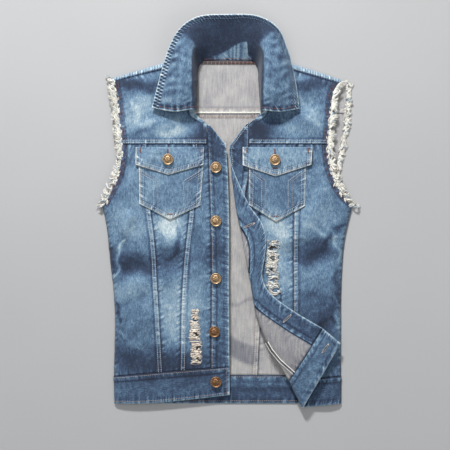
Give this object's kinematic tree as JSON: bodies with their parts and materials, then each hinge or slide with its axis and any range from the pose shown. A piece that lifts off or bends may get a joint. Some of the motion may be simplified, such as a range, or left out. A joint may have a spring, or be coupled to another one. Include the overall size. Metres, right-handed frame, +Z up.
{
  "type": "denim vest",
  "caption": "Sleeveless denim jacket laid flat on its back, with a turned-down collar, chest pockets, frayed armholes and one front folded open.",
  "frame": {"origin": "on the underside of the back, half way down the vest and midway between its sides", "axes": "+X towards the wearer's left, +Y towards the collar, +Z up from the surface that it lies on"},
  "size_m": [0.4955, 0.7452, 0.0484],
  "materials": {
    "denim": "matte",
    "worn_denim": "matte",
    "brass": "antique",
    "bared_thread": "matte"
  },
  "bodies": {
    "root": {"back_centre": "denim", "back_yoke": "denim", "back_waistband": "denim", "left_back_side": "denim", "right_back_side": "denim", "left_back_blade": "denim", "right_back_blade": "denim", "left_shoulder": "denim", "right_shoulder": "denim", "left_yoke": "denim", "right_yoke": "denim", "left_side": "denim", "right_side": "denim", "left_underarm": "denim", "right_underarm": "denim", "left_centre": "denim", "left_placket": "denim", "right_placket": "denim", "left_waistband": "denim", "right_waistband": "denim", "left_pocket": "denim", "right_pocket": "denim", "left_flap": "denim", "right_flap": "denim", "collar": "denim", "left_middle": "worn_denim", "right_middle": "worn_denim", "right_centre": "worn_denim", "button_placket_1": "brass", "button_placket_2": "brass", "button_placket_3": "brass", "button_placket_4": "brass", "button_placket_5": "brass", "button_flap_left": "brass", "button_flap_right": "brass", "left_front_fringe": "bared_thread", "right_front_fringe": "bared_thread", "left_back_fringe": "bared_thread", "right_back_fringe": "bared_thread"}
  },
  "joints": []
}
